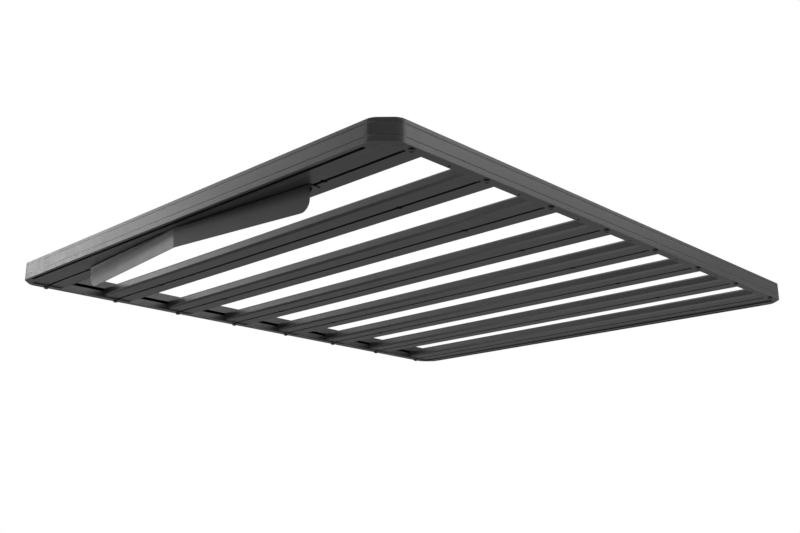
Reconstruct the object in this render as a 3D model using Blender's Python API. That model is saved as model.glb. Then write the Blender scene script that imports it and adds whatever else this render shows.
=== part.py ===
"""Slatted roof cargo tray with a wind deflector, built from its separate pieces.

Frame: +Z up, the deflector end faces -Y, and the origin is at the middle of the tray's underside.
All lengths are in metres.
"""

import math

import bmesh
import bpy
from mathutils import Matrix, Vector
from mathutils.geometry import tessellate_polygon

# Overall tray
TRAY_WIDTH = 1.345
TRAY_LENGTH = 1.560
TRAY_HEIGHT = 0.045
FIT_GAP = 0.0003
WALL = 0.0025
EDGE_CHAMFER = 0.0012
CUT_PAST = 0.002
ROUND_SIDES = 12

# Slats: aluminium extrusions with a T-slot along the top and the bottom. Their undersides lie
# above the rails' undersides by the thickness of a rail's floor.
SLAT_COUNT = 8
SLAT_PITCH = 0.202
SLAT_WIDTH = 0.0904
SLAT_HEIGHT = 0.0238
SLAT_CHAMFER = 0.0048
SLAT_RAISE = WALL + FIT_GAP
SLAT_SKIN = 0.0023
SLOT_OPENING = 0.008
SLOT_CHANNEL = 0.014
SLOT_LIP = 0.00235
SLOT_DEPTH = 0.0074
SLOT_ENTRY_X = 0.4355
SLOT_ENTRY_RADIUS = 0.0072

# Rails: box sections round the slats, with two shallow grooves along the outer face
SIDE_RAIL_WIDTH = 0.0225
SIDE_SLOT_LOW = 0.0165
SIDE_SLOT_HIGH = 0.0245
GROOVE_HEIGHTS = (0.0120, 0.0360)
GROOVE_WIDTH = 0.0024
GROOVE_DEPTH = 0.0010
END_SLOT_FROM_FACE = 0.011
END_SLOT_LENGTH = 1.222

# Corner castings
CORNER_ON_END = 0.0525
CORNER_ON_SIDE = 0.0470
CORNER_CUT_X = 0.0370
CORNER_CUT_Y = 0.0340
CORNER_BLEND = 0.028
BLEND_STEPS = 6
END_SPIGOT_LENGTH = 0.030
SIDE_SPIGOT_LENGTH = 0.0165
SPIGOT_ROOT = 0.001

# Slat fixings: a tapped block in each slat end takes a bolt through the rail's floor
BLOCK_WIDTH = 0.0134
BLOCK_LOW = 0.0028
BLOCK_HIGH = 0.0094
BLOCK_INSIDE_SLAT = 0.018
BOLT_FROM_FACE = 0.0110
BOLT_RADIUS = 0.0040
BOLT_HOLE_RADIUS = 0.0045
BOLT_HEAD_RADIUS = 0.0066
BOLT_HEAD_HEIGHT = 0.0044
HEAD_RIM = 0.0008
HEAD_DOME = ((0.62, 1.0), (0.90, 0.58))
BOLT_TIP = 0.0143
SOCKET_ACROSS_CORNERS = 0.0058
SOCKET_DEPTH = 0.0022
DRAIN_FROM_FACE = 0.0150
DRAIN_RADIUS = 0.0030

# Wind deflector: one bent sheet in two wings, bolted into the first slat's lower T-slot
SHEET = 0.0020
DEFLECTOR_TOP = SLAT_RAISE - 0.0005
DEFLECTOR_HALF_LENGTH = 0.407
DEFLECTOR_APEX_Y = -0.7499
DEFLECTOR_END_Y = -0.7193
DEFLECTOR_MID_DROP = 0.0438
DEFLECTOR_END_DROP = 0.0531
DEFLECTOR_RAKE = 0.0046
DEFLECTOR_CORNER = 0.026
TONGUE_INNER_X = 0.030
TONGUE_BACK_Y = -0.6900
DEFLECTOR_BOLT_X = 0.392
CLAMP_BOLT_LENGTH = 0.0150
HEX_RADIUS = 0.0074
NUT_TURN = math.pi / 6
NUT_HEIGHT = 0.0062
HEAD_HEIGHT = 0.0053

END_FACE_Y = TRAY_LENGTH / 2
SIDE_FACE_X = TRAY_WIDTH / 2
FIRST_SLAT_Y = -SLAT_PITCH * (SLAT_COUNT - 1) / 2
END_RAIL_WIDTH = END_FACE_Y + FIRST_SLAT_Y - SLAT_WIDTH / 2 - FIT_GAP
SLAT_LENGTH = TRAY_WIDTH - 2 * (SIDE_RAIL_WIDTH + FIT_GAP)
END_RAIL_LENGTH = TRAY_WIDTH - 2 * (CORNER_ON_END + FIT_GAP)
SIDE_RAIL_LENGTH = TRAY_LENGTH - 2 * (CORNER_ON_SIDE + FIT_GAP)

# The section of a rail or slat is drawn across (Y or X) and up; these matrices lay it along X or Y.
ALONG_X = Matrix(((0, 0, 1, 0), (1, 0, 0, 0), (0, 1, 0, 0), (0, 0, 0, 1)))
ALONG_Y = Matrix(((1, 0, 0, 0), (0, 0, 1, 0), (0, 1, 0, 0), (0, 0, 0, 1)))


def clear_scene():
    for obj in list(bpy.data.objects):
        bpy.data.objects.remove(obj, do_unlink=True)


def make_material(name, color, roughness, metallic):
    material = bpy.data.materials.new(name)
    material.use_nodes = True
    shader = material.node_tree.nodes["Principled BSDF"]
    shader.inputs["Base Color"].default_value = (*color, 1.0)
    shader.inputs["Roughness"].default_value = roughness
    shader.inputs["Metallic"].default_value = metallic
    return material


def rail_coat():
    return make_material("rail_powder_coat", (0.022, 0.022, 0.024), 0.40, 0.0)


def corner_coat():
    return make_material("corner_powder_coat", (0.018, 0.018, 0.019), 0.45, 0.0)


def slat_coat():
    return make_material("slat_powder_coat", (0.020, 0.020, 0.021), 0.42, 0.0)


def deflector_coat():
    return make_material("deflector_powder_coat", (0.024, 0.024, 0.026), 0.36, 0.0)


def bolt_steel():
    return make_material("black_bolt_steel", (0.035, 0.035, 0.037), 0.38, 1.0)


def block_steel():
    return make_material("plated_block_steel", (0.050, 0.050, 0.052), 0.45, 1.0)


def place(name, mesh, material, smooth=False):
    obj = bpy.data.objects.new(name, mesh)
    bpy.context.collection.objects.link(obj)
    mesh.materials.append(material)
    if smooth:
        mesh.shade_smooth()
        mesh.set_sharp_from_angle(angle=math.radians(35))
    return obj


def finish_mesh(name, bm):
    bmesh.ops.recalc_face_normals(bm, faces=bm.faces)
    mesh = bpy.data.meshes.new(name)
    bm.to_mesh(mesh)
    bm.free()
    return mesh


def add_prism(bm, loops, low, high, matrix=None):
    """Extrudes an outline, with any inner loops as through holes, from low to high."""
    flat = [Vector((x, y, 0)) for loop in loops for x, y in loop]
    caps = tessellate_polygon([[Vector((x, y, 0)) for x, y in loop] for loop in loops])
    matrix = matrix or Matrix()
    rows = [
        [bm.verts.new(matrix @ Vector((p.x, p.y, level))) for p in flat]
        for level in (low, high)
    ]
    for row in rows:
        for corners in caps:
            bm.faces.new([row[i] for i in corners])
    start = 0
    for loop in loops:
        for i in range(len(loop)):
            a = start + i
            b = start + (i + 1) % len(loop)
            bm.faces.new((rows[0][a], rows[0][b], rows[1][b], rows[1][a]))
        start += len(loop)


def rectangle(x0, y0, x1, y1):
    return [(x0, y0), (x1, y0), (x1, y1), (x0, y1)]


def circle(x, y, radius, count, turn=0.0):
    angles = [turn + 2 * math.pi * i / count for i in range(count)]
    return [(x + radius * math.cos(a), y + radius * math.sin(a)) for a in angles]


def stadium(x0, x1, y, radius, count):
    """A round-ended slot outline from x0 to x1."""
    points = []
    for centre, start in ((x1 - radius, -math.pi / 2), (x0 + radius, math.pi / 2)):
        for i in range(count + 1):
            a = start + math.pi * i / count
            points.append((centre + radius * math.cos(a), y + radius * math.sin(a)))
    return points


def add_cutter(name, bm, targets):
    cutter = bpy.data.objects.new(name, finish_mesh(name, bm))
    bpy.context.collection.objects.link(cutter)
    cutter.hide_render = True
    cutter.display_type = "WIRE"
    for target in targets:
        cut = target.modifiers.new(name, "BOOLEAN")
        cut.operation = "DIFFERENCE"
        cut.object = cutter


def slat_positions():
    return [FIRST_SLAT_Y + SLAT_PITCH * i for i in range(SLAT_COUNT)]


def gap_positions():
    return [FIRST_SLAT_Y + SLAT_PITCH * (i + 0.5) for i in range(SLAT_COUNT - 1)]


# Slats


def slat_side(sign):
    """One side of the slat's outline, from the upper slot's lip to the lower one's."""
    half = SLAT_WIDTH / 2
    c = SLAT_CHAMFER
    side = [(half - c, SLAT_HEIGHT), (half, SLAT_HEIGHT - c), (half, c), (half - c, 0.0)]
    return [(sign * y, z) for y, z in side]


def slat_chamber(sign):
    """One of the two hollows beside the T-slots, its outer corners cut to follow the chamfers."""
    inner = SLOT_CHANNEL / 2 + SLAT_SKIN
    outer = SLAT_WIDTH / 2 - SLAT_SKIN
    cut = SLAT_CHAMFER - (2 - math.sqrt(2)) * SLAT_SKIN
    low = SLAT_SKIN
    high = SLAT_HEIGHT - SLAT_SKIN
    corners = [
        (inner, low),
        (outer - cut, low),
        (outer, low + cut),
        (outer, high - cut),
        (outer - cut, high),
        (inner, high),
    ]
    return [(sign * y, z) for y, z in corners]


def slot_outline(outer, inward):
    """The T-slot's outline from its +Y lip to its -Y lip; inward is +1 for the lower slot."""
    narrow = SLOT_OPENING / 2
    wide = SLOT_CHANNEL / 2
    lip = outer + inward * SLOT_LIP
    floor = outer + inward * (SLOT_LIP + SLOT_DEPTH)
    return [
        (narrow, outer),
        (narrow, lip),
        (wide, lip),
        (wide, floor),
        (-wide, floor),
        (-wide, lip),
        (-narrow, lip),
        (-narrow, outer),
    ]


def slat_section():
    outline = slat_side(1) + slot_outline(0.0, 1)
    outline += slat_side(-1)[::-1] + slot_outline(SLAT_HEIGHT, -1)[::-1]
    return [outline, slat_chamber(1), slat_chamber(-1)]


def build_slats(material):
    slats = []
    for index, y in enumerate(slat_positions()):
        bm = bmesh.new()
        add_prism(bm, slat_section(), -SLAT_LENGTH / 2, SLAT_LENGTH / 2, ALONG_X)
        slat = place(f"slat_{index + 1}", finish_mesh(f"slat_{index + 1}", bm), material)
        slat.location = (0, y, SLAT_RAISE)
        slats.append(slat)
    bm = bmesh.new()
    entry_top = SLAT_RAISE + SLOT_LIP + SLOT_DEPTH / 2
    for y in slat_positions():
        for x in (-SLOT_ENTRY_X, SLOT_ENTRY_X):
            entry = circle(x, y, SLOT_ENTRY_RADIUS, ROUND_SIDES)
            add_prism(bm, [entry], SLAT_RAISE - CUT_PAST, entry_top)
    add_cutter("slot_entry_cutter", bm, slats)


# Rails


def groove_points(face, inward):
    """The outline of the two shallow grooves, going up the outer face."""
    points = []
    for height in GROOVE_HEIGHTS:
        points.append((face, height - GROOVE_WIDTH / 2))
        points.append((face + inward * GROOVE_DEPTH, height))
        points.append((face, height + GROOVE_WIDTH / 2))
    return points


def side_rail_section():
    """The right-hand rail, drawn from the inner face at X = 0 out to its grooved outer face."""
    w = SIDE_RAIL_WIDTH
    h = TRAY_HEIGHT
    c = EDGE_CHAMFER
    return (
        [(0.0, SIDE_SLOT_LOW), (0.0, 0.0), (w - c, 0.0), (w, c)]
        + groove_points(w, -1)
        + [(w, h - c), (w - c, h), (c, h), (0.0, h - c), (0.0, SIDE_SLOT_HIGH)]
        + [(WALL, SIDE_SLOT_HIGH), (WALL, h - WALL), (w - WALL, h - WALL)]
        + [(w - WALL, WALL), (WALL, WALL), (WALL, SIDE_SLOT_LOW)]
    )


def side_rail_cuts():
    """Bolt and drain holes in the floor, and a window for each slat's end block."""
    bm = bmesh.new()
    bolt_x = SIDE_RAIL_WIDTH - BOLT_FROM_FACE
    drain_x = SIDE_RAIL_WIDTH - DRAIN_FROM_FACE
    for y in slat_positions():
        hole = circle(bolt_x, y, BOLT_HOLE_RADIUS, ROUND_SIDES)
        add_prism(bm, [hole], -CUT_PAST, WALL + CUT_PAST)
    for y in gap_positions():
        drain = circle(drain_x, y, DRAIN_RADIUS, ROUND_SIDES)
        add_prism(bm, [drain], -CUT_PAST, WALL + CUT_PAST)
    return bm


def side_rail_windows():
    bm = bmesh.new()
    half = BLOCK_WIDTH / 2 + FIT_GAP
    for y in slat_positions():
        window = rectangle(-CUT_PAST, y - half, WALL + CUT_PAST, y + half)
        low = SLAT_RAISE + BLOCK_LOW - FIT_GAP
        add_prism(bm, [window], low, SLAT_RAISE + BLOCK_HIGH + FIT_GAP)
    return bm


def build_side_rail(name, turn, material):
    bm = bmesh.new()
    half = SIDE_RAIL_LENGTH / 2
    add_prism(bm, [side_rail_section()], -half, half, ALONG_Y)
    rail = place(name, finish_mesh(name, bm), material)
    inner_x = SIDE_FACE_X - SIDE_RAIL_WIDTH
    spin = Matrix.Rotation(turn, 4, "Z")
    rail.matrix_world = spin @ Matrix.Translation((inner_x, 0, 0))
    for part, cuts in (("floor", side_rail_cuts()), ("window", side_rail_windows())):
        bmesh.ops.transform(cuts, matrix=rail.matrix_world, verts=cuts.verts)
        add_cutter(f"{name}_{part}_cutter", cuts, [rail])


def end_rail_section():
    """The rear rail, drawn from its inner face at Y = 0 out to its grooved outer face."""
    w = END_RAIL_WIDTH
    h = TRAY_HEIGHT
    c = EDGE_CHAMFER
    outline = [(0.0, 0.0), (w - c, 0.0), (w, c)]
    outline += groove_points(w, -1)
    outline += [(w, h - c), (w - c, h), (c, h), (0.0, h - c)]
    return [outline, rectangle(WALL, WALL, w - WALL, h - WALL)]


def build_end_rail(name, turn, material):
    bm = bmesh.new()
    half = END_RAIL_LENGTH / 2
    add_prism(bm, end_rail_section(), -half, half, ALONG_X)
    rail = place(name, finish_mesh(name, bm), material)
    spin = Matrix.Rotation(turn, 4, "Z")
    rail.matrix_world = spin @ Matrix.Translation((0, END_FACE_Y - END_RAIL_WIDTH, 0))
    bm = bmesh.new()
    slot_y = END_RAIL_WIDTH - END_SLOT_FROM_FACE
    reach = END_SLOT_LENGTH / 2
    outline = stadium(-reach, reach, slot_y, SLOT_OPENING / 2, ROUND_SIDES // 2)
    add_prism(bm, [outline], -CUT_PAST, WALL + CUT_PAST)
    bmesh.ops.transform(bm, matrix=rail.matrix_world, verts=bm.verts)
    add_cutter(f"{name}_slot_cutter", bm, [rail])


# Corners


def blend(before, corner, after, radius, count):
    """Points of an arc that rounds the corner between two straight sides."""
    into = (corner - before).normalized()
    out = (after - corner).normalized()
    turn = into.angle(out)
    reach = radius * math.tan(turn / 2)
    start = corner - into * reach
    end = corner + out * reach
    bisector = (out - into).normalized()
    centre = corner + bisector * (radius / math.cos(turn / 2))
    first = start - centre
    last = end - centre
    points = []
    for i in range(count + 1):
        t = i / count
        mix = first * math.sin((1 - t) * turn) + last * math.sin(t * turn)
        points.append(centre + mix / math.sin(turn))
    return points


def corner_outer_path():
    """The casting's outer outline, as distances in from the side face and from the end face."""
    seam_end = Vector((CORNER_ON_END, 0.0))
    cut_end = Vector((CORNER_CUT_X, 0.0))
    cut_side = Vector((0.0, CORNER_CUT_Y))
    seam_side = Vector((0.0, CORNER_ON_SIDE))
    path = [seam_end]
    path += blend(seam_end, cut_end, cut_side, CORNER_BLEND, BLEND_STEPS)
    path += blend(cut_end, cut_side, seam_side, CORNER_BLEND, BLEND_STEPS)
    path.append(seam_side)
    return path


def inset_path(path, distance):
    """Moves each point in from the outer face; the two seam points stay on their seams."""
    moved = []
    for i, point in enumerate(path):
        before = path[max(i - 1, 0)]
        after = path[min(i + 1, len(path) - 1)]
        along = (after - before).normalized()
        moved.append(point + Vector((-along.y, along.x)) * -distance)
    return moved


def corner_levels():
    """(height, inset) of each ring up the casting's outer face, edge chamfers and grooves included."""
    levels = [(0.0, EDGE_CHAMFER), (EDGE_CHAMFER, 0.0)]
    for height in GROOVE_HEIGHTS:
        levels.append((height - GROOVE_WIDTH / 2, 0.0))
        levels.append((height, GROOVE_DEPTH))
        levels.append((height + GROOVE_WIDTH / 2, 0.0))
    return levels + [(TRAY_HEIGHT - EDGE_CHAMFER, 0.0), (TRAY_HEIGHT, EDGE_CHAMFER)]


def add_corner_body(bm):
    inner = [
        Vector((SIDE_RAIL_WIDTH, CORNER_ON_SIDE)),
        Vector((SIDE_RAIL_WIDTH, END_RAIL_WIDTH)),
        Vector((CORNER_ON_END, END_RAIL_WIDTH)),
    ]
    path = corner_outer_path()
    rings = []
    for height, inset in corner_levels():
        outline = inset_path(path, inset) + inner
        rings.append([bm.verts.new((p.x, p.y, height)) for p in outline])
    for low, high in zip(rings, rings[1:]):
        for i in range(len(low)):
            j = (i + 1) % len(low)
            bm.faces.new((low[i], low[j], high[j], high[i]))
    for ring in (rings[0], rings[-1]):
        for corners in tessellate_polygon([[v.co.copy() for v in ring]]):
            bm.faces.new([ring[i] for i in corners])


def add_spigots(bm):
    """Plugs that hold the two hollow rails; the one in the end rail lies beside the milled slot."""
    low = WALL + FIT_GAP
    high = TRAY_HEIGHT - WALL - FIT_GAP
    u0 = CORNER_ON_END - SPIGOT_ROOT
    u1 = CORNER_ON_END + END_SPIGOT_LENGTH
    v0 = END_SLOT_FROM_FACE + SLOT_OPENING / 2 + FIT_GAP
    v1 = END_RAIL_WIDTH - WALL - FIT_GAP
    add_prism(bm, [rectangle(u0, v0, u1, v1)], low, high)
    v2 = CORNER_ON_SIDE - SPIGOT_ROOT
    v3 = CORNER_ON_SIDE + SIDE_SPIGOT_LENGTH
    u2 = SIDE_RAIL_WIDTH - WALL - FIT_GAP
    add_prism(bm, [rectangle(low, v2, u2, v3)], low, high)


def build_corner(name, side, end, material):
    body_mesh = bmesh.new()
    add_corner_body(body_mesh)
    spigots = bmesh.new()
    add_spigots(spigots)
    to_tray = Matrix.Translation((side * SIDE_FACE_X, end * END_FACE_Y, 0))
    to_tray @= Matrix.Diagonal((-side, -end, 1, 1))
    for bm in (body_mesh, spigots):
        bmesh.ops.transform(bm, matrix=to_tray, verts=bm.verts)
    corner = place(name, finish_mesh(name, body_mesh), material, smooth=True)
    plug = bpy.data.objects.new(f"{name}_spigots", finish_mesh(f"{name}_spigots", spigots))
    bpy.context.collection.objects.link(plug)
    plug.hide_render = True
    plug.display_type = "WIRE"
    join = corner.modifiers.new("spigots", "BOOLEAN")
    join.operation = "UNION"
    join.object = plug


# Fixings


def add_stack(bm, rings):
    """Closes a stack of equal-sized rings into one solid."""
    rows = [[bm.verts.new(point) for point in ring] for ring in rings]
    for low, high in zip(rows, rows[1:]):
        for i in range(len(low)):
            j = (i + 1) % len(low)
            bm.faces.new((low[i], low[j], high[j], high[i]))
    bm.faces.new(rows[0])
    bm.faces.new(rows[-1])


def ring_at(radius, height):
    return [(x, y, height) for x, y in circle(0, 0, radius, ROUND_SIDES)]


def hexagon_ring(across_corners, height):
    """A hexagon of six corners and the six middles of its sides."""
    corner = across_corners / 2
    points = []
    for i in range(ROUND_SIDES):
        radius = corner if i % 2 == 0 else corner * math.cos(math.pi / 6)
        a = 2 * math.pi * i / ROUND_SIDES
        points.append((radius * math.cos(a), radius * math.sin(a), height))
    return points


def slat_bolt_mesh():
    """A button-head bolt pointing up, with the rail's underside at Z = 0 and a hexagon socket."""
    under = -FIT_GAP
    bottom = under - BOLT_HEAD_HEIGHT
    rings = [
        hexagon_ring(SOCKET_ACROSS_CORNERS, bottom + SOCKET_DEPTH),
        hexagon_ring(SOCKET_ACROSS_CORNERS, bottom),
    ]
    for width, depth in HEAD_DOME:
        rings.append(ring_at(BOLT_HEAD_RADIUS * width, under - BOLT_HEAD_HEIGHT * depth))
    rings += [
        ring_at(BOLT_HEAD_RADIUS, under - HEAD_RIM),
        ring_at(BOLT_HEAD_RADIUS, under),
        ring_at(BOLT_RADIUS, under),
        ring_at(BOLT_RADIUS, BOLT_TIP),
    ]
    bm = bmesh.new()
    add_stack(bm, rings)
    return finish_mesh("slat_bolt", bm)


def end_block_mesh():
    """The tapped block of a right-hand slat end, drawn about its bolt's axis."""
    inner = -(SIDE_RAIL_WIDTH - BOLT_FROM_FACE + BLOCK_INSIDE_SLAT)
    outer = BOLT_FROM_FACE - WALL - 2 * FIT_GAP
    half = BLOCK_WIDTH / 2
    outline = rectangle(inner, -half, outer, half)
    bm = bmesh.new()
    hole = circle(0, 0, BOLT_RADIUS + FIT_GAP, ROUND_SIDES)
    add_prism(bm, [outline, hole], BLOCK_LOW, BLOCK_HIGH)
    return finish_mesh("slat_end_block", bm)


def build_slat_fixings(bolt_material, block_material):
    for side, turn, sign in (("left", math.pi, -1), ("right", 0.0, 1)):
        for index, y in enumerate(slat_positions()):
            x = sign * (SIDE_FACE_X - BOLT_FROM_FACE)
            tag = f"{side}_{index + 1}"
            bolt = place(f"slat_bolt_{tag}", slat_bolt_mesh(), bolt_material, smooth=True)
            block = place(f"slat_end_block_{tag}", end_block_mesh(), block_material)
            for obj, rise in ((bolt, 0.0), (block, SLAT_RAISE)):
                obj.location = (x, y, rise)
                obj.rotation_euler = (0, 0, turn)


# Wind deflector


def wing_face(sign):
    """Outline of one wing's front face, from the apex along the top and back along the bottom."""
    end_x = sign * DEFLECTOR_HALF_LENGTH
    end_bottom = DEFLECTOR_TOP - DEFLECTOR_END_DROP
    apex_top = Vector((0, DEFLECTOR_APEX_Y, DEFLECTOR_TOP))
    end_top = Vector((end_x, DEFLECTOR_END_Y, DEFLECTOR_TOP))
    end_low = Vector((end_x, DEFLECTOR_END_Y + DEFLECTOR_RAKE, end_bottom))
    apex_bottom = DEFLECTOR_TOP - DEFLECTOR_MID_DROP
    apex_low = Vector((0, DEFLECTOR_APEX_Y + DEFLECTOR_RAKE, apex_bottom))
    corner = blend(end_top, end_low, apex_low, DEFLECTOR_CORNER, BLEND_STEPS)
    return [apex_top, end_top] + corner + [apex_low]


def add_wing_plates(bm):
    """Both wings as one sheet, its front face pushed straight back by the sheet's thickness."""
    right = wing_face(1)
    left = wing_face(-1)
    back = Vector((0, SHEET, 0))
    apex_front = (bm.verts.new(right[0]), bm.verts.new(right[-1]))
    apex_back = (bm.verts.new(right[0] + back), bm.verts.new(right[-1] + back))
    for wing in (right, left):
        front = [bm.verts.new(p) for p in wing[1:-1]]
        rear = [bm.verts.new(p + back) for p in wing[1:-1]]
        fronts = [apex_front[0]] + front + [apex_front[1]]
        rears = [apex_back[0]] + rear + [apex_back[1]]
        bm.faces.new(fronts)
        bm.faces.new(rears)
        for i in range(len(fronts) - 1):
            bm.faces.new((fronts[i], fronts[i + 1], rears[i + 1], rears[i]))


def add_tongues(bm):
    """The flanges that lie under the first slat, one behind each wing."""
    slope = (DEFLECTOR_END_Y - DEFLECTOR_APEX_Y) / DEFLECTOR_HALF_LENGTH
    for sign in (-1, 1):
        x0 = TONGUE_INNER_X
        x1 = DEFLECTOR_HALF_LENGTH
        y0 = DEFLECTOR_APEX_Y + slope * x0 + SHEET / 2
        y1 = DEFLECTOR_END_Y + SHEET / 2
        outline = [
            (sign * x0, y0),
            (sign * x1, y1),
            (sign * x1, TONGUE_BACK_Y),
            (sign * x0, TONGUE_BACK_Y),
        ]
        bolt_x = sign * DEFLECTOR_BOLT_X
        hole = circle(bolt_x, FIRST_SLAT_Y, BOLT_RADIUS + FIT_GAP, ROUND_SIDES)
        add_prism(bm, [outline, hole], DEFLECTOR_TOP - SHEET, DEFLECTOR_TOP)


def build_deflector(material):
    plates = bmesh.new()
    add_wing_plates(plates)
    deflector = place("wind_deflector", finish_mesh("wind_deflector", plates), material)
    tongues = bmesh.new()
    add_tongues(tongues)
    helper = bpy.data.objects.new("deflector_tongues", finish_mesh("tongues", tongues))
    bpy.context.collection.objects.link(helper)
    helper.hide_render = True
    helper.display_type = "WIRE"
    join = deflector.modifiers.new("tongues", "BOOLEAN")
    join.operation = "UNION"
    join.object = helper


def clamp_bolt_mesh():
    """A hexagon-head bolt hanging from the T-slot's lips, with its head in the channel."""
    seat = SLOT_LIP + FIT_GAP
    tip = seat - CLAMP_BOLT_LENGTH
    bm = bmesh.new()
    rings = [
        hexagon_ring(2 * HEX_RADIUS, seat + HEAD_HEIGHT),
        hexagon_ring(2 * HEX_RADIUS, seat),
        ring_at(BOLT_RADIUS, seat),
        ring_at(BOLT_RADIUS, tip),
    ]
    add_stack(bm, rings)
    return finish_mesh("deflector_bolt", bm)


def clamp_nut_mesh():
    top = DEFLECTOR_TOP - SHEET - FIT_GAP
    bm = bmesh.new()
    outline = circle(0, 0, HEX_RADIUS, 6, NUT_TURN)
    hole = circle(0, 0, BOLT_RADIUS + FIT_GAP, ROUND_SIDES)
    add_prism(bm, [outline, hole], top - NUT_HEIGHT, top)
    return finish_mesh("deflector_nut", bm)


def build_deflector_fixings(bolt_material, nut_material):
    for side, sign in (("left", -1), ("right", 1)):
        bolt = place(f"deflector_bolt_{side}", clamp_bolt_mesh(), bolt_material)
        nut = place(f"deflector_nut_{side}", clamp_nut_mesh(), nut_material)
        for obj, rise in ((bolt, SLAT_RAISE), (nut, 0.0)):
            obj.location = (sign * DEFLECTOR_BOLT_X, FIRST_SLAT_Y, rise)


def main():
    clear_scene()
    rails = rail_coat()
    corners = corner_coat()
    build_slats(slat_coat())
    build_side_rail("side_rail_right", 0.0, rails)
    build_side_rail("side_rail_left", math.pi, rails)
    build_end_rail("rear_rail", 0.0, rails)
    build_end_rail("front_rail", math.pi, rails)
    for end_name, end in (("front", -1), ("rear", 1)):
        for side_name, side in (("left", -1), ("right", 1)):
            build_corner(f"corner_{end_name}_{side_name}", side, end, corners)
    steel = bolt_steel()
    build_slat_fixings(steel, block_steel())
    build_deflector(deflector_coat())
    build_deflector_fixings(steel, steel)


main()
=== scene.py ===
"""Looks of the slatted roof cargo tray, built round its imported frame.

Metres, +Z up. The wind deflector is at the -Y end. The origin is in the middle of the tray, in the
plane of the rails' undersides.
"""

import math

import bmesh
import bpy
from mathutils import Matrix, Quaternion, Vector
from mathutils.geometry import tessellate_polygon


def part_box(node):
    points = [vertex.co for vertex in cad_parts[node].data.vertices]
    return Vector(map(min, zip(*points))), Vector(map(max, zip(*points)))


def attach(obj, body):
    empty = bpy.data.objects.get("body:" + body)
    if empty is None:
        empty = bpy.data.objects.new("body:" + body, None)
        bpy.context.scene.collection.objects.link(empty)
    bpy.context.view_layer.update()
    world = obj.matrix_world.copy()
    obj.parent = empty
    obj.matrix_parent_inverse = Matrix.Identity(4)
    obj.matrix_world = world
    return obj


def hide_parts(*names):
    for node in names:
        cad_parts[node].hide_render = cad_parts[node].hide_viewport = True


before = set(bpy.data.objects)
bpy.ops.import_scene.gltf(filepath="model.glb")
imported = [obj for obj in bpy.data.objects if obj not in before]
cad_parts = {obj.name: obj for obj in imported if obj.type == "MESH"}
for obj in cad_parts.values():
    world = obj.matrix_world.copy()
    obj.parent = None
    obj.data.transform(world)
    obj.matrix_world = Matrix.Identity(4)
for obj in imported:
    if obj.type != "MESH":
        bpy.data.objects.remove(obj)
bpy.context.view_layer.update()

# Shapes that the extrusions and castings share
WALL = 0.0025
FIT_GAP = 0.0003
EDGE_RADIUS = 0.0012
GROOVE_HEIGHTS = (0.0120, 0.0360)
GROOVE_HALF = 0.0014
GROOVE_RADIUS = 0.0012
SIDE_GROOVE_DEPTH = 0.0006
END_GROOVE_DEPTH = 0.0010
CAST_GROOVE_DEPTH = 0.0003

# Fineness: the largest turn of one segment, and the angle from which an edge is drawn sharp
ROUND_STEP = math.radians(15)
FINE_STEP = ROUND_STEP / 4
SHARP_ANGLE = math.radians(32)
HOLE_POINTS = 24
# How far a cutter stands past the faces that it cuts
CUT_PAST = 0.002

# Slats: the section, and the notches through which a T-bolt enters the lower slot
SLAT_CHAMFER = 0.0048
SLAT_EDGE = 0.0010
SLAT_RAISE = 0.0028
SLAT_SKIN = 0.0023
CHAMBER_RADIUS = 0.0008
SLOT_HALF = 0.0040
CHANNEL_HALF = 0.0070
SLOT_LIP = 0.00235
SLOT_DEPTH = 0.0074
SLOT_RADIUS = 0.0005
SLOT_LIP_RADIUS = 0.0003
SLOT_FLOOR_RADIUS = 0.0008
ENTRY_X = 0.4355
ENTRY_RADIUS = 0.0072
ENTRY_POINTS = 32

# Rails: the hollow's corners, the slots, and what is cut in the side rails' floor and inner wall
HOLLOW_RADIUS = 0.0010
SIDE_SLOT = (0.0165, 0.0245)
SIDE_SLOT_RADIUS = 0.0004
SIDE_TOE_RADIUS = 0.0003
END_SLOT_FROM_FACE = 0.011
END_SLOT_REACH = 0.611
END_SLOT_STEPS = 16
BOLT_FROM_FACE = 0.011
BOLT_HOLE_RADIUS = 0.0045
DRAIN_FROM_FACE = 0.015
DRAIN_RADIUS = 0.003
BLOCK_WINDOW_HALF = 0.0070
BLOCK_WINDOW = (0.0053, 0.0125)

# Corner castings: how far each reaches along the rails, where the slanted face starts, and its blend
CORNER_ON_END = 0.0525
CORNER_ON_SIDE = 0.0470
CORNER_CUT_X = 0.0370
CORNER_CUT_Y = 0.0340
CORNER_BLEND = 0.028
EDGE_STEPS = 6
# A groove's section: place in half widths from its middle, and depth as a share of the whole
GROOVE_SHAPE = ((-1.0, 0.0), (-0.55, 0.38), (-0.2, 0.92), (0.2, 0.92), (0.55, 0.38), (1.0, 0.0))

# Bolts and nuts
TURNED_POINTS = 36
SHANK_RADIUS = 0.0040
TIP_CHAMFER = 0.0008
BOLT_TIP_RADIUS = 0.0033
SOCKET_CORNER = 0.0027
SOCKET_DEPTH = 0.0022
SOCKET_BEVEL = 0.0003
HEAD_FLAT = 0.52
HEAD_RIM = 0.0006
DOME_STEPS = 8
CLAMP_HEAD_TOP = 0.9
CLAMP_HEAD_BEVEL = 0.0006
THREAD_BELOW_SEAT = 0.004
THREAD_TURNS = 14
THREAD_ROOT = 0.0035
THREAD_END_RADIUS = 0.0039
THREAD_TIP_RADIUS = 0.0031
NUT_BORE = 0.0043
NUT_BORE_RIM = 0.0006
NUT_FACE = 0.84
NUT_BEVEL = 0.0010

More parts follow.
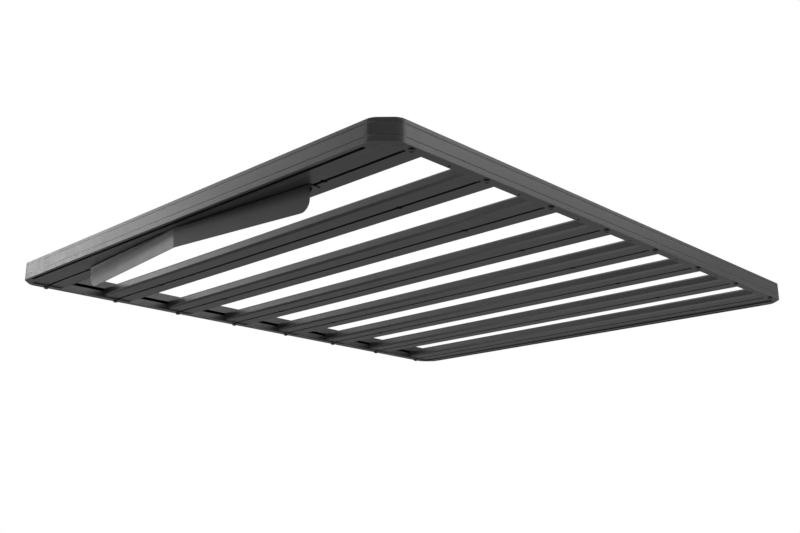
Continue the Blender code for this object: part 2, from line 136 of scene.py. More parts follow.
# Wind deflector: one bent sheet, swept back from the middle and hung by two flanges
SHEET = 0.0020
SHEET_EDGE = 0.0004
SHEET_EDGE_SEGMENTS = 2
SHEET_EDGE_ANGLE = math.radians(60)
APEX_Y = -0.7499
WING_END_Y = -0.7193
MID_DROP = 0.0438
END_DROP = 0.0531
RAKE = 0.0046
WING_CORNER = 0.026
WING_CORNER_STEPS = 18
APEX_BEND = 0.0030
APEX_STATIONS = (0.0, 0.001, 0.002, 0.003, 0.0045, 0.0065, 0.009)
WING_STATION_START = 0.05
WING_STATION_STEP = 0.03
WING_STATIONS = 11
PLATE_ROWS = 8
FLANGE_BEND = 0.0030
FLANGE_BEND_STEPS = 6
FLANGE_INNER = 0.030
# Slack in comparing places, and how squarely a face looks along Y to count as the plate's front
SAME_PLACE = 1e-6
FACING = 0.7

# Powder coats: darker and lighter tone, lowest and highest roughness, specular level
COATS = {
    "rail": ((0.0125, 0.0125, 0.013), (0.017, 0.017, 0.0175), (0.28, 0.34), 0.5),
    # The castings get the rails' coat, darker and a little less glossy; the darker tone is painted
    # shade on the castings
    "corner": ((0.0115, 0.0115, 0.012), (0.0155, 0.0155, 0.016), (0.29, 0.35), 0.42),
    "slat": ((0.012, 0.012, 0.0125), (0.0165, 0.0165, 0.017), (0.28, 0.34), 0.5),
    "deflector": ((0.0125, 0.0125, 0.013), (0.017, 0.017, 0.0175), (0.28, 0.34), 0.5),
}
# Steels: finish and rubbed tone, lowest and highest roughness
STEELS = {
    "bolt": ((0.03, 0.03, 0.032), (0.10, 0.10, 0.10), (0.34, 0.48)),
    "block": ((0.03, 0.03, 0.032), (0.09, 0.09, 0.09), (0.40, 0.55)),
}
# Noises: scale per metre, detail and, where it isn't the usual one, roughness
COAT_CLOUD = (9.0, 3.0)
COAT_SPECK = (700.0, 2.0, 0.6)
COAT_PATCH = (38.0, 4.0)
COAT_PEEL = (260.0, 1.0)
COAT_GRIT = (1100.0, 2.0, 0.6)
STEEL_RUB = (420.0, 4.0, 0.65)
STEEL_PATCH = (160.0, 3.0)
STEEL_TURNING = (900.0, 3.0, 0.6)
# Specks and rubbed spots: how much of the paler tone, and the part of the noise that shows them
SPECK_LIFT = 1.35
SPECK_SPREAD = (0.0, 0.5, 0.55, 0.75)
RUB_SPREAD = (0.0, 1.0, 0.50, 0.78)
# Bumps: distance and strength
PEEL_BUMP = (0.00012, 0.11)
GRIT_BUMP = (0.00005, 0.10)
TURNING_BUMP = (0.00004, 0.3)
# The colour sockets of a Mix node
MIX_FIRST, MIX_SECOND, MIX_RESULT = 6, 7, 2

# Studio: a pale floor far below the tray, and a world that is white only to the camera
FLOOR_SIZE = 400
FLOOR_Z = -4.3
FLOOR_TONE = 0.86
FLOOR_ROUGHNESS = 0.9
FLOOR_GLOW = 0.78
WORLD_SEEN = 1.0
WORLD_LIGHT = 0.24
# Soft disks: azimuth from the front towards +X, elevation, diameter and radiance
LIGHT_DISTANCE = 6.0
LIGHTS = {
    "key_low": (-60, -6, 1.6, 7.4),
    "key_middle": (-60, 6, 1.6, 2.1),
    "key_high": (-60, 18, 1.6, 4.4),
    "key_top": (-60, 30, 1.6, 4.2),
    "key_side": (-75, 18, 1.6, 1.6),
    "key_side_low": (-72, -9, 1.6, 3.8),
    "key_front_top": (-45, 30, 1.6, 2.0),
    "key_front_low": (-42, -6, 1.6, 1.6),
    "front_left_low": (-30, -6, 1.6, 0.5),
    "front_left_high": (-38, 13, 1.6, 0.9),
    "front_left": (-15, 6, 1.6, 3.6),
    "front": (0, 6, 1.6, 2.1),
    "front_right": (20, 6, 2.6, 1.5),
    "right_high": (45, 28, 2.6, 0.65),
    "right_side_high": (70, 28, 2.6, 0.8),
    "right_rear_high": (95, 28, 2.6, 0.9),
    "rear_right": (120, 6, 2.6, 3.4),
    "rear_right_high": (120, 28, 2.6, 2.3),
    "rear_high": (145, 28, 2.6, 1.4),
    "rear_middle": (158, 13, 2.6, 0.25),
    "rear_low": (160, -20, 2.6, 2.0),
    "rear_right_floor": (135, -42, 3.1, 3.4),
}
# Wider disks over and under the tray: the same values, and a distance of their own
WIDE_LIGHTS = {
    "below": (0, -90, 7.0, 1.4, 4.0),
    "above": (0, 80, 7.0, 2.2, 5.0),
}

# Camera, fitted to the tray's straight edges in the photo
SENSOR_WIDTH = 36.0
LENS = 43.354
CAMERA_PLACE = (1.7096, -1.8123, -0.6486)
CAMERA_AIM = (-0.66988, 0.68847, 0.27796)
CAMERA_ROLL = math.radians(0.162)
CLIP_START = 0.05
CLIP_END = 1000

# A section drawn in X and Y, extruded along the tray's X or Y
ALONG_X = Matrix(((0, 0, 1, 0), (1, 0, 0, 0), (0, 1, 0, 0), (0, 0, 0, 1)))
ALONG_Y = Matrix(((1, 0, 0, 0), (0, 0, 1, 0), (0, 1, 0, 0), (0, 0, 0, 1)))


# Mesh helpers


def rounded(corners, step=ROUND_STEP):
    """An outline whose corners (x, y, radius) are rounded where the radius isn't 0."""
    points = []
    count = len(corners)
    for i, (x, y, radius) in enumerate(corners):
        here = Vector((x, y))
        if radius <= 0:
            points.append(here)
            continue
        before = (Vector(corners[i - 1][:2]) - here).normalized()
        after = (Vector(corners[(i + 1) % count][:2]) - here).normalized()
        half = before.angle(after) / 2
        centre = here + (before + after).normalized() * (radius / math.sin(half))
        start = here + before * (radius / math.tan(half)) - centre
        end = here + after * (radius / math.tan(half)) - centre
        sweep = math.atan2(start.cross(end), start.dot(end))
        steps = max(2, math.ceil(abs(sweep) / step))
        for k in range(steps + 1):
            points.append(centre + Matrix.Rotation(sweep * k / steps, 2) @ start)
    return points


def box_loop(x0, y0, x1, y1, radius=0.0):
    return rounded([(x0, y0, radius), (x1, y0, radius), (x1, y1, radius), (x0, y1, radius)])


def ring(radius, count, x=0.0, y=0.0):
    angles = [2 * math.pi * i / count for i in range(count)]
    return [Vector((x + radius * math.cos(a), y + radius * math.sin(a))) for a in angles]


def stadium(x0, x1, y, radius, steps):
    """A slot's outline with round ends, from x0 to x1."""
    points = []
    for centre, start in ((x1 - radius, -math.pi / 2), (x0 + radius, math.pi / 2)):
        for i in range(steps + 1):
            a = start + math.pi * i / steps
            points.append(Vector((centre + radius * math.cos(a), y + radius * math.sin(a))))
    return points


def skin(bm, rows):
    """Joins neighbouring closed rows of vertices with quads."""
    for low, high in zip(rows, rows[1:]):
        for i in range(len(low)):
            j = (i + 1) % len(low)
            bm.faces.new((low[i], low[j], high[j], high[i]))


def add_prism(bm, loops, low, high, matrix=None):
    """Extrudes an outline, with any inner loops as through holes, from low to high."""
    matrix = matrix or Matrix()
    flat = [Vector((p[0], p[1], 0)) for loop in loops for p in loop]
    caps = tessellate_polygon([[Vector((p[0], p[1], 0)) for p in loop] for loop in loops])
    rows = [
        [bm.verts.new(matrix @ Vector((p.x, p.y, level))) for p in flat]
        for level in (low, high)
    ]
    for row in rows:
        for corners in caps:
            bm.faces.new([row[i] for i in corners])
    start = 0
    for loop in loops:
        for i in range(len(loop)):
            a = start + i
            b = start + (i + 1) % len(loop)
            bm.faces.new((rows[0][a], rows[0][b], rows[1][b], rows[1][a]))
        start += len(loop)


def to_mesh(name, bm):
    bmesh.ops.recalc_face_normals(bm, faces=bm.faces)
    mesh = bpy.data.meshes.new(name)
    bm.to_mesh(mesh)
    bm.free()
    return mesh


def new_object(name, mesh):
    obj = bpy.data.objects.new(name, mesh)
    bpy.context.scene.collection.objects.link(obj)
    return obj


def apply_modifiers(obj):
    """Turns what the modifiers make into the object's own plain mesh."""
    graph = bpy.context.evaluated_depsgraph_get()
    made = bpy.data.meshes.new_from_object(obj.evaluated_get(graph))
    obj.modifiers.clear()
    obj.data = made


def cut(obj, bm):
    """Cuts the solids in bm from obj."""
    tool = new_object(f"{obj.name}_tool", to_mesh(f"{obj.name}_tool", bm))
    modifier = obj.modifiers.new("tool", "BOOLEAN")
    modifier.operation = "DIFFERENCE"
    modifier.object = tool
    apply_modifiers(obj)
    bpy.data.objects.remove(tool, do_unlink=True)


def finish_piece(obj, material, slot, *nodes):
    """Smooth shading, finish, body and the CAD nodes that the piece stands for."""
    obj.data.materials.clear()
    obj.data.materials.append(material)
    obj.data.shade_smooth()
    obj.data.set_sharp_from_angle(angle=SHARP_ANGLE)
    weighted = obj.modifiers.new("weighted_normals", "WEIGHTED_NORMAL")
    weighted.keep_sharp = True
    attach(obj, "root")
    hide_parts(*nodes)


# Materials


class Nodes:
    """Short names for building one material's node tree."""

    def __init__(self, name):
        self.material = bpy.data.materials.new(name)
        self.material.use_nodes = True
        self.tree = self.material.node_tree
        self.shader = self.tree.nodes["Principled BSDF"]
        self.coords = self.tree.nodes.new("ShaderNodeTexCoord").outputs["Object"]

    def link(self, source, target):
        self.tree.links.new(source, target)

    def shade(self, source, socket):
        self.link(source, self.shader.inputs[socket])

    def noise(self, scale, detail, roughness=0.5):
        node = self.tree.nodes.new("ShaderNodeTexNoise")
        node.inputs["Scale"].default_value = scale
        node.inputs["Detail"].default_value = detail
        node.inputs["Roughness"].default_value = roughness
        self.link(self.coords, node.inputs["Vector"])
        return node.outputs["Fac"]

    def between(self, value, low, high, from_low=0.3, from_high=0.7):
        node = self.tree.nodes.new("ShaderNodeMapRange")
        node.inputs["From Min"].default_value = from_low
        node.inputs["From Max"].default_value = from_high
        node.inputs["To Min"].default_value = low
        node.inputs["To Max"].default_value = high
        self.link(value, node.inputs["Value"])
        return node.outputs["Result"]

    def mix(self, factor, first, second):
        node = self.tree.nodes.new("ShaderNodeMix")
        node.data_type = "RGBA"
        self.link(factor, node.inputs["Factor"])
        for value, index in ((first, MIX_FIRST), (second, MIX_SECOND)):
            if isinstance(value, tuple):
                node.inputs[index].default_value = (*value, 1.0)
            else:
                self.link(value, node.inputs[index])
        return node.outputs[MIX_RESULT]

    def bump(self, height, distance, strength, under=None):
        node = self.tree.nodes.new("ShaderNodeBump")
        node.inputs["Distance"].default_value = distance
        node.inputs["Strength"].default_value = strength
        self.link(height, node.inputs["Height"])
        if under is not None:
            self.link(under, node.inputs["Normal"])
        return node.outputs["Normal"]


def powder_coat(name, dark, light, roughness, specular):
    """Fine-textured satin black powder coat: soft orange peel with a finer grit on it."""
    n = Nodes(name)
    tone = n.mix(n.between(n.noise(*COAT_CLOUD), 0.0, 1.0), dark, light)
    pale = tuple(SPECK_LIFT * c for c in light)
    n.shade(n.mix(n.between(n.noise(*COAT_SPECK), *SPECK_SPREAD), tone, pale), "Base Color")
    n.shade(n.between(n.noise(*COAT_PATCH), *roughness), "Roughness")
    peel = n.bump(n.noise(*COAT_PEEL), *PEEL_BUMP)
    n.shade(n.bump(n.noise(*COAT_GRIT), *GRIT_BUMP, peel), "Normal")
    n.shader.inputs["Specular IOR Level"].default_value = specular
    return n.material


def dark_steel(name, base, rubbed, roughness):
    """Black-finished steel with fine turning marks and slightly brighter rubbed spots."""
    n = Nodes(name)
    n.shade(n.mix(n.between(n.noise(*STEEL_RUB), *RUB_SPREAD), base, rubbed), "Base Color")
    n.shade(n.between(n.noise(*STEEL_PATCH), *roughness), "Roughness")
    n.shade(n.bump(n.noise(*STEEL_TURNING), *TURNING_BUMP), "Normal")
    n.shader.inputs["Metallic"].default_value = 1.0
    return n.material


# Slats


def slat_names():
    start = "slat_"
    return sorted(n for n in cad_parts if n.startswith(start) and n[len(start):].isdigit())


def slat_middles():
    return [(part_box(n)[0].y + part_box(n)[1].y) / 2 for n in slat_names()]


def slat_side(sign, half, height):
    """A chamfered side of the slat, going down."""
    chamfer = SLAT_CHAMFER
    return [
        (sign * (half - chamfer), height, SLAT_EDGE),
        (sign * half, height - chamfer, SLAT_EDGE),
        (sign * half, chamfer, SLAT_EDGE),
        (sign * (half - chamfer), 0.0, SLAT_EDGE),
    ]


def t_slot(outer, inward):
    """A T-slot that opens at height outer, from its +x side to its -x side."""
    lip = outer + inward * SLOT_LIP
    floor = lip + inward * SLOT_DEPTH
    return [
        (SLOT_HALF, outer, SLOT_RADIUS),
        (SLOT_HALF, lip, SLOT_LIP_RADIUS),
        (CHANNEL_HALF, lip, SLOT_RADIUS),
        (CHANNEL_HALF, floor, SLOT_FLOOR_RADIUS),
        (-CHANNEL_HALF, floor, SLOT_FLOOR_RADIUS),
        (-CHANNEL_HALF, lip, SLOT_RADIUS),
        (-SLOT_HALF, lip, SLOT_LIP_RADIUS),
        (-SLOT_HALF, outer, SLOT_RADIUS),
    ]


def slat_outline(half, height):
    """The slat's section: chamfered sides, a T-slot from above and from below, two hollows."""
    corners = slat_side(1, half, height) + t_slot(0.0, 1)
    corners += slat_side(-1, half, height)[::-1] + t_slot(height, -1)[::-1]
    inner = CHANNEL_HALF + SLAT_SKIN
    outer = half - SLAT_SKIN
    chamfer = SLAT_CHAMFER - (2 - math.sqrt(2)) * SLAT_SKIN
    low = SLAT_SKIN
    high = height - SLAT_SKIN
    chamber = [(inner, low), (outer - chamfer, low), (outer, low + chamfer)]
    chamber += [(outer, high - chamfer), (outer - chamfer, high), (inner, high)]
    loops = [rounded(corners)]
    for sign in (1, -1):
        loops.append(rounded([(sign * y, z, CHAMBER_RADIUS) for y, z in chamber]))
    return loops


def build_slats(material):
    for name in slat_names():
        low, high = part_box(name)
        middle = (low.y + high.y) / 2
        outline = slat_outline((high.y - low.y) / 2, high.z - low.z)
        bm = bmesh.new()
        spot = Matrix.Translation((0, middle, low.z))
        add_prism(bm, outline, low.x, high.x, spot @ ALONG_X)
        slat = new_object(f"{name}_extrusion", to_mesh(name, bm))
        cuts = bmesh.new()
        for x in (-ENTRY_X, ENTRY_X):
            hole = ring(ENTRY_RADIUS, ENTRY_POINTS, x, middle)
            add_prism(cuts, [hole], low.z - CUT_PAST, low.z + SLOT_LIP + SLOT_DEPTH / 2)
        cut(slat, cuts)
        finish_piece(slat, material, "slat_coat", name)


# Rails


def grooves(face, depth):
    """The corners of the two shallow grooves, going up an outer face at x = face."""
    corners = []
    for height in GROOVE_HEIGHTS:
        corners.append((face, height - GROOVE_HALF, GROOVE_RADIUS))
        corners.append((face - depth, height, GROOVE_RADIUS))
        corners.append((face, height + GROOVE_HALF, GROOVE_RADIUS))
    return corners


def side_rail_outline(w, h):
    """A C section: the slot in the inner wall, at x = 0, opens into the hollow."""
    low, high = SIDE_SLOT
    r = SIDE_SLOT_RADIUS
    inner = HOLLOW_RADIUS
    corners = [(0, low, r), (0, 0, SIDE_TOE_RADIUS), (w, 0, EDGE_RADIUS)]
    corners += grooves(w, SIDE_GROOVE_DEPTH)
    corners += [(w, h, EDGE_RADIUS), (0, h, EDGE_RADIUS), (0, high, r), (WALL, high, r)]
    corners += [(WALL, h - WALL, inner), (w - WALL, h - WALL, inner)]
    corners += [(w - WALL, WALL, inner), (WALL, WALL, inner), (WALL, low, r)]
    return [rounded(corners)]


def floor_holes(w, to_tray):
    """Bolt holes, and drain holes between them, in a side rail's floor."""
    cuts = bmesh.new()
    ys = slat_middles()
    for y in ys:
        hole = ring(BOLT_HOLE_RADIUS, HOLE_POINTS, w - BOLT_FROM_FACE, y)
        add_prism(cuts, [hole], -CUT_PAST, WALL + CUT_PAST)
    for y, after in zip(ys, ys[1:]):
        drain = ring(DRAIN_RADIUS, HOLE_POINTS, w - DRAIN_FROM_FACE, (y + after) / 2)
        add_prism(cuts, [drain], -CUT_PAST, WALL + CUT_PAST)
    bmesh.ops.transform(cuts, matrix=to_tray, verts=cuts.verts)
    return cuts


def block_windows(to_tray):
    """The windows in a side rail's inner wall that the end blocks reach through."""
    cuts = bmesh.new()
    half = BLOCK_WINDOW_HALF
    for y in slat_middles():
        window = box_loop(-CUT_PAST, y - half, WALL + CUT_PAST, y + half)
        add_prism(cuts, [window], *BLOCK_WINDOW)
    bmesh.ops.transform(cuts, matrix=to_tray, verts=cuts.verts)
    return cuts


def build_side_rails(material):
    for side, turn in (("left", math.pi), ("right", 0.0)):
        name = f"side_rail_{side}"
        low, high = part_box(name)
        w = high.x - low.x
        inner = min(abs(low.x), abs(high.x))
        spin = Matrix.Rotation(turn, 4, "Z") @ Matrix.Translation((inner, 0, 0))
        bm = bmesh.new()
        add_prism(bm, side_rail_outline(w, high.z), low.y, high.y, spin @ ALONG_Y)
        rail = new_object(f"{name}_extrusion", to_mesh(name, bm))
        cut(rail, floor_holes(w, spin))
        cut(rail, block_windows(spin))
        finish_piece(rail, material, "rail_coat", name)


def end_rail_outline(w, h):
    """A box section with its inner wall at x = 0."""
    corners = [(0, 0, 0.0), (w, 0, EDGE_RADIUS), *grooves(w, END_GROOVE_DEPTH)]
    corners += [(w, h, EDGE_RADIUS), (0, h, EDGE_RADIUS)]
    return [rounded(corners), box_loop(WALL, WALL, w - WALL, h - WALL, HOLLOW_RADIUS)]


def build_end_rails(material):
    for name, turn in (("front_rail", math.pi), ("rear_rail", 0.0)):
        low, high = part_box(name)
        w = high.y - low.y
        inner = min(abs(low.y), abs(high.y))
        spin = Matrix.Rotation(turn, 4, "Z") @ Matrix.Translation((0, inner, 0))
        bm = bmesh.new()
        add_prism(bm, end_rail_outline(w, high.z), low.x, high.x, spin @ ALONG_X)
        rail = new_object(f"{name}_extrusion", to_mesh(name, bm))
        cuts = bmesh.new()
        slot_y = w - END_SLOT_FROM_FACE
        outline = stadium(-END_SLOT_REACH, END_SLOT_REACH, slot_y, SLOT_HALF, END_SLOT_STEPS)
        add_prism(cuts, [outline], -CUT_PAST, WALL + CUT_PAST)
        bmesh.ops.transform(cuts, matrix=spin, verts=cuts.verts)
        cut(rail, cuts)
        finish_piece(rail, material, "rail_coat", name)


# Corner castings


def corner_path():
    """The outer outline, as distances in from the side face and from the end face."""
    corners = [
        (CORNER_ON_END, 0.0, 0.0),
        (CORNER_CUT_X, 0.0, CORNER_BLEND),
        (0.0, CORNER_CUT_Y, CORNER_BLEND),
        (0.0, CORNER_ON_SIDE, 0.0),
        (1.0, 1.0, 0.0),
    ]
    # The last corner only closes the outline, so it is left off.
    return rounded(corners, FINE_STEP)[:-1]


def corner_levels(height):
    """(height, inset) up the casting's face: rounded edges and the two grooves."""
    turns = [math.pi / 2 * i / EDGE_STEPS for i in range(EDGE_STEPS + 1)]
    edge = [(EDGE_RADIUS * (1 - math.cos(a)), EDGE_RADIUS * (1 - math.sin(a))) for a in turns]
    levels = list(edge)
    for middle in GROOVE_HEIGHTS:
        for place, depth in GROOVE_SHAPE:
            levels.append((middle + place * GROOVE_HALF, depth * CAST_GROOVE_DEPTH))
    levels += [(height - rise, inset) for rise, inset in reversed(edge)]
    return levels


def inset_path(path, distance):
    """The open path, moved in by a distance."""
    moved = []
    for i, point in enumerate(path):
        before = path[max(i - 1, 0)]
        after = path[min(i + 1, len(path) - 1)]
        along = (after - before).normalized()
        moved.append(point + Vector((along.y, -along.x)) * distance)
    return moved


def casting(path, inner, height, to_tray):
    """One casting: the outer path, inset level by level, closed along the inner corners."""
    bm = bmesh.new()
    rows = []
    for level, inset in corner_levels(height):
        outline = inset_path(path, inset) + inner
        rows.append([bm.verts.new((p.x, p.y, level)) for p in outline])
    skin(bm, rows)
    for row in (rows[0], rows[-1]):
        for corners in tessellate_polygon([[v.co.copy() for v in row]]):
            bm.faces.new([row[i] for i in corners])
    bmesh.ops.transform(bm, matrix=to_tray, verts=bm.verts)
    return bm


def build_corners(material):
    rail_low, rail_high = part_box("rear_rail")
    end_width = rail_high.y - rail_low.y
    side_low, side_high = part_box("side_rail_right")
    side_width = side_high.x - side_low.x
    inner = [
        Vector((side_width, CORNER_ON_SIDE)),
        Vector((side_width, end_width)),
        Vector((CORNER_ON_END, end_width)),
    ]
    path = corner_path()
    for end_name, end in (("front", -1), ("rear", 1)):
        for side_name, side in (("left", -1), ("right", 1)):
            name = f"corner_{end_name}_{side_name}"
            to_tray = Matrix.Translation((side * side_high.x, end * rail_high.y, 0))
            to_tray @= Matrix.Diagonal((-side, -end, 1, 1))
            bm = casting(path, inner, side_high.z, to_tray)
            corner = new_object(f"{name}_casting", to_mesh(name, bm))
            finish_piece(corner, material, "corner_coat", name)


# Fixings


def level_ring(radius, height):
    return [Vector((p.x, p.y, height)) for p in ring(radius, TURNED_POINTS)]


def hexagon_row(corner, height):
    """A hexagon drawn with as many points as the rings round it."""
    flat = corner * math.cos(math.pi / 6)
    points = []
    for i in range(TURNED_POINTS):
        a = 2 * math.pi * i / TURNED_POINTS
        across = (a + math.pi / 6) % (math.pi / 3) - math.pi / 6
        radius = flat / math.cos(math.pi / 6 - abs(across))
        points.append(Vector((radius * math.cos(a), radius * math.sin(a), height)))
    return points


def turned(rows, tube=False):
    """A solid skinned over equal rows of points; a tube's last row joins its first."""
    bm = bmesh.new()
    verts = [[bm.verts.new(p) for p in row] for row in rows]
    if tube:
        skin(bm, verts + verts[:1])
    else:
        skin(bm, verts)
        bm.faces.new(verts[0])
        bm.faces.new(verts[-1])
    return bm


def place_turned(name, bm, material):
    """Puts a turned piece at the middle of the node that it replaces."""
    low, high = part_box(name)
    centre = (low + high) / 2
    piece = new_object(f"{name}_turned", to_mesh(name, bm))
    piece.location = (centre.x, centre.y, 0)
    finish_piece(piece, material, "bolt_steel", name)


def slat_bolt(low, high):
    """A button-head socket bolt with its head down, under the rail's floor."""
    radius = (high.x - low.x) / 2
    under = -FIT_GAP
    dome = under - low.z - HEAD_RIM
    rows = [
        hexagon_row(SOCKET_CORNER, low.z + SOCKET_DEPTH),
        hexagon_row(SOCKET_CORNER, low.z + SOCKET_BEVEL),
        hexagon_row(SOCKET_CORNER + SOCKET_BEVEL, low.z),
        level_ring(radius * HEAD_FLAT, low.z),
    ]
    for i in range(1, DOME_STEPS + 1):
        a = math.pi / 2 * i / DOME_STEPS
        wide = radius * (HEAD_FLAT + (1 - HEAD_FLAT) * math.sin(a))
        rows.append(level_ring(wide, low.z + dome * (1 - math.cos(a))))
    rows += [
        level_ring(radius, under),
        level_ring(SHANK_RADIUS, under),
        level_ring(SHANK_RADIUS, high.z - TIP_CHAMFER),
        level_ring(BOLT_TIP_RADIUS, high.z),
    ]
    return turned(rows)


def clamp_bolt(low, high):
    """A T-bolt with its hexagonal head in the first slat's lower slot, and a threaded shank."""
    corner = (high.x - low.x) / 2
    seat = SLAT_RAISE + SLOT_LIP + FIT_GAP
    rows = [
        hexagon_row(corner * CLAMP_HEAD_TOP, high.z),
        hexagon_row(corner, high.z - CLAMP_HEAD_BEVEL),
        hexagon_row(corner, seat),
        level_ring(SHANK_RADIUS, seat),
    ]
    start = seat - THREAD_BELOW_SEAT
    pitch = (start - low.z - TIP_CHAMFER) / THREAD_TURNS
    for i in range(THREAD_TURNS):
        rows.append(level_ring(SHANK_RADIUS, start - pitch * i))
        rows.append(level_ring(THREAD_ROOT, start - pitch * (i + 0.5)))
    rows.append(level_ring(THREAD_END_RADIUS, low.z + TIP_CHAMFER))
    rows.append(level_ring(THREAD_TIP_RADIUS, low.z))
    return turned(rows)


def clamp_nut(low, high):
    """A chamfered hexagon nut with an open bore and its corners towards +Y and -Y."""
    corner = (high.y - low.y) / 2
    rows = [
        level_ring(NUT_BORE, low.z),
        level_ring(NUT_BORE + NUT_BORE_RIM, low.z),
        level_ring(corner * NUT_FACE, low.z),
        hexagon_row(corner, low.z + NUT_BEVEL),
        hexagon_row(corner, high.z - NUT_BEVEL),
        level_ring(corner * NUT_FACE, high.z),
        level_ring(NUT_BORE, high.z),
    ]
    bm = turned(rows, tube=True)
    bmesh.ops.transform(bm, matrix=Matrix.Rotation(math.pi / 6, 4, "Z"), verts=bm.verts)
    return bm


def build_slat_bolts(material):
    for side in ("left", "right"):
        for index in range(1, len(slat_middles()) + 1):
            name = f"slat_bolt_{side}_{index}"
            place_turned(name, slat_bolt(*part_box(name)), material)


def build_clamps(material):
    """The T-bolts and nuts that hold the deflector's flanges under the first slat."""
    for side in ("left", "right"):
        for piece, shape in (("bolt", clamp_bolt), ("nut", clamp_nut)):
            name = f"deflector_{piece}_{side}"
            place_turned(name, shape(*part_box(name)), material)


# Wind deflector


def wing_front(x, half):
    """Y of the deflector's front face at its top edge; the middle bend is rounded."""
    run = math.sqrt(x * x + APEX_BEND * APEX_BEND) - APEX_BEND
    return APEX_Y + (WING_END_Y - APEX_Y) * run / half


def wing_bottom(x, half, top):
    """Z of the lower edge: a straight line out to a large rounded corner."""
    run = abs(x)
    slope = (MID_DROP - END_DROP) / half
    line = top - MID_DROP + slope * run
    tilt = math.atan(slope)
    centre_x = half - WING_CORNER
    start = centre_x + WING_CORNER * math.sin(tilt)
    if run <= start:
        return line
    centre_z = top - MID_DROP + slope * start + WING_CORNER * math.cos(tilt)
    return centre_z - math.sqrt(max(WING_CORNER**2 - (run - centre_x) ** 2, 0.0))


def wing_stations(half):
    """X values across the whole sheet, close together at the bend and at the round corners."""
    side = [*APEX_STATIONS, FLANGE_INNER]
    side += [WING_STATION_START + i * WING_STATION_STEP for i in range(WING_STATIONS)]
    centre = half - WING_CORNER
    for i in range(WING_CORNER_STEPS + 1):
        side.append(centre + WING_CORNER * math.sin(math.pi / 2 * i / WING_CORNER_STEPS))
    return [-x for x in reversed(side[1:])] + side


def plate_column(bm, x, half, top):
    """The vertices up the upright plate at one station, from its lower edge to the flange's bend."""
    front = wing_front(x, half)
    bottom = wing_bottom(x, half, top)
    shoulder = top - FLANGE_BEND
    drop = MID_DROP + (END_DROP - MID_DROP) * abs(x) / half
    column = []
    for k in range(PLATE_ROWS + 1):
        z = bottom + (shoulder - bottom) * k / PLATE_ROWS
        column.append(bm.verts.new((x, front + RAKE * (top - z) / drop, z)))
    return column


def flange_chain(bm, x, head, half, top, back):
    """From the plate's head back along the flange, or straight up where there is no flange."""
    if abs(x) <= FLANGE_INNER - SAME_PLACE:
        return [head, bm.verts.new((x, wing_front(x, half), top))]
    edge = head.co.copy()
    shoulder = top - FLANGE_BEND
    chain = [head]
    for k in range(1, FLANGE_BEND_STEPS + 1):
        a = math.pi / 2 * k / FLANGE_BEND_STEPS
        y = edge.y + FLANGE_BEND * (1 - math.cos(a))
        chain.append(bm.verts.new((x, y, shoulder + FLANGE_BEND * math.sin(a))))
    chain.append(bm.verts.new((x, back, top)))
    return chain


def deflector_surface(half, top, back):
    """The sheet's front and upper side, as a surface without thickness."""
    bm = bmesh.new()
    xs = wing_stations(half)
    plate = [plate_column(bm, x, half, top) for x in xs]
    for first, second in zip(plate, plate[1:]):
        for k in range(PLATE_ROWS):
            bm.faces.new((first[k], second[k], second[k + 1], first[k + 1]))
    flanges = [flange_chain(bm, x, c[-1], half, top, back) for x, c in zip(xs, plate)]
    for first, second in zip(flanges, flanges[1:]):
        if len(first) == len(second):
            for k in range(len(first) - 1):
                bm.faces.new((first[k], second[k], second[k + 1], first[k + 1]))
        else:
            # A flange ends here, so the plate's last strip gets a vertex of its own.
            longer, shorter = sorted((first, second), key=len, reverse=True)
            twin = bm.verts.new((longer[0].co.x, wing_front(longer[0].co.x, half), top))
            bm.faces.new((longer[0], shorter[0], shorter[1], twin))
    bmesh.ops.recalc_face_normals(bm, faces=bm.faces)
    # The front face is outside, so the sheet's thickness goes back and down from it.
    ahead = [f for f in bm.faces if abs(f.normal.y) > FACING]
    if sum(f.normal.y for f in ahead) > 0:
        bmesh.ops.reverse_faces(bm, faces=bm.faces)
    return bm


def build_deflector(material):
    low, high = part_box("wind_deflector")
    bm = deflector_surface(high.x, high.z, high.y)
    sheet = bpy.data.meshes.new("wind_deflector_sheet")
    bm.to_mesh(sheet)
    bm.free()
    obj = new_object("wind_deflector_bent_sheet", sheet)
    solid = obj.modifiers.new("thickness", "SOLIDIFY")
    solid.thickness = SHEET
    solid.offset = -1.0
    solid.use_even_offset = True
    soften = obj.modifiers.new("edges", "BEVEL")
    soften.width = SHEET_EDGE
    soften.segments = SHEET_EDGE_SEGMENTS
    soften.limit_method = "ANGLE"
    soften.angle_limit = SHEET_EDGE_ANGLE
    apply_modifiers(obj)
    finish_piece(obj, material, "deflector_coat", "wind_deflector")


# End blocks


def finish_blocks(material):
    """The tapped end blocks stay as packed and only get a material."""
    for name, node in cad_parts.items():
        if name.startswith("slat_end_block"):
            node.data.materials.clear()
            node.data.materials.append(material)


# Studio


def build_stage():
    bpy.ops.mesh.primitive_plane_add(size=FLOOR_SIZE, location=(0, 0, FLOOR_Z))
    floor = bpy.context.object
    floor.name = "studio_floor"
    material = bpy.data.materials.new("pale_floor")
    material.use_nodes = True
    shader = material.node_tree.nodes["Principled BSDF"]
    shader.inputs["Base Color"].default_value = (FLOOR_TONE, FLOOR_TONE, FLOOR_TONE, 1)
    shader.inputs["Roughness"].default_value = FLOOR_ROUGHNESS
    # The disks light the floor only faintly, so it glows to look pale; it lights nothing itself.
    shader.inputs["Emission Color"].default_value = (1, 1, 1, 1)
    shader.inputs["Emission Strength"].default_value = FLOOR_GLOW
    floor.visible_glossy = False
    floor.visible_diffuse = False
    floor.data.materials.append(material)


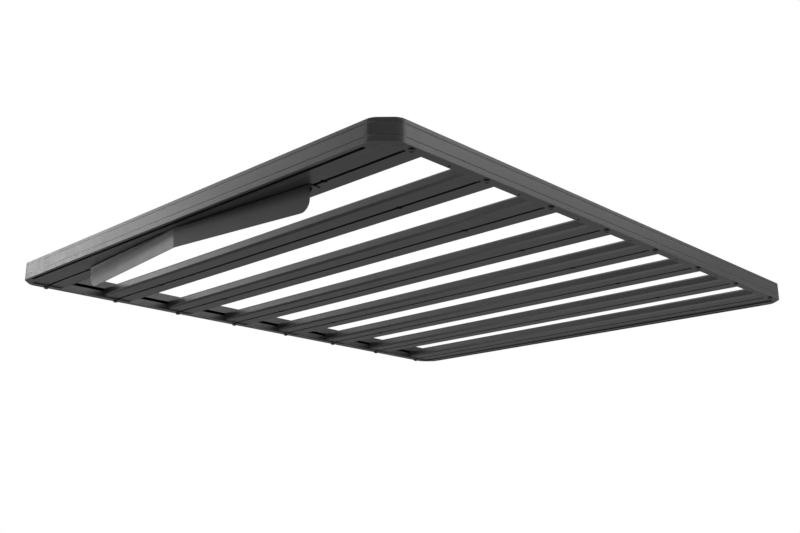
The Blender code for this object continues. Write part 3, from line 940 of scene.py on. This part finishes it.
def soft_disk(name, azimuth, elevation, diameter, radiance, distance=LIGHT_DISTANCE):
    """A soft round panel that faces the tray; the camera doesn't see it."""
    a = math.radians(azimuth)
    e = math.radians(elevation)
    toward = Vector((math.sin(a) * math.cos(e), -math.cos(a) * math.cos(e), math.sin(e)))
    data = bpy.data.lights.new(name, "AREA")
    data.shape = "DISK"
    data.size = diameter
    data.energy = radiance * math.pi * math.pi * diameter * diameter / 4
    lamp = bpy.data.objects.new(name, data)
    lamp.location = toward * distance
    lamp.rotation_euler = toward.to_track_quat("Z", "Y").to_euler()
    lamp.visible_camera = False
    bpy.context.scene.collection.objects.link(lamp)


def build_lights():
    """The disks, and a world that is white behind the tray but lights it only faintly."""
    for name, values in (*LIGHTS.items(), *WIDE_LIGHTS.items()):
        soft_disk(name, *values)
    world = bpy.data.worlds.new("studio")
    bpy.context.scene.world = world
    world.use_nodes = True
    tree = world.node_tree
    sky = tree.nodes["Background"]
    sky.inputs["Color"].default_value = (1, 1, 1, 1)
    seen = tree.nodes.new("ShaderNodeLightPath").outputs["Is Camera Ray"]
    level = tree.nodes.new("ShaderNodeMapRange")
    level.inputs["To Min"].default_value = WORLD_LIGHT
    level.inputs["To Max"].default_value = WORLD_SEEN
    tree.links.new(seen, level.inputs["Value"])
    tree.links.new(level.outputs["Result"], sky.inputs["Strength"])


def build_camera():
    data = bpy.data.cameras.new("camera")
    data.sensor_width = SENSOR_WIDTH
    data.lens = LENS
    data.clip_start = CLIP_START
    data.clip_end = CLIP_END
    camera = bpy.data.objects.new("camera", data)
    camera.location = CAMERA_PLACE
    aim = Vector(CAMERA_AIM).to_track_quat("-Z", "Y")
    roll = Quaternion((0, 0, 1), CAMERA_ROLL)
    camera.rotation_euler = (aim @ roll).to_euler()
    bpy.context.scene.collection.objects.link(camera)
    bpy.context.scene.camera = camera
    bpy.context.scene.view_settings.view_transform = "Standard"


build_camera()
coats = {part: powder_coat(f"{part}_powder_coat", *look) for part, look in COATS.items()}
steels = {part: dark_steel(f"black_{part}_steel", *look) for part, look in STEELS.items()}
build_slats(coats["slat"])
build_side_rails(coats["rail"])
build_end_rails(coats["rail"])
build_corners(coats["corner"])
build_slat_bolts(steels["bolt"])
build_deflector(coats["deflector"])
build_clamps(steels["bolt"])
finish_blocks(steels["block"])
build_stage()
build_lights()
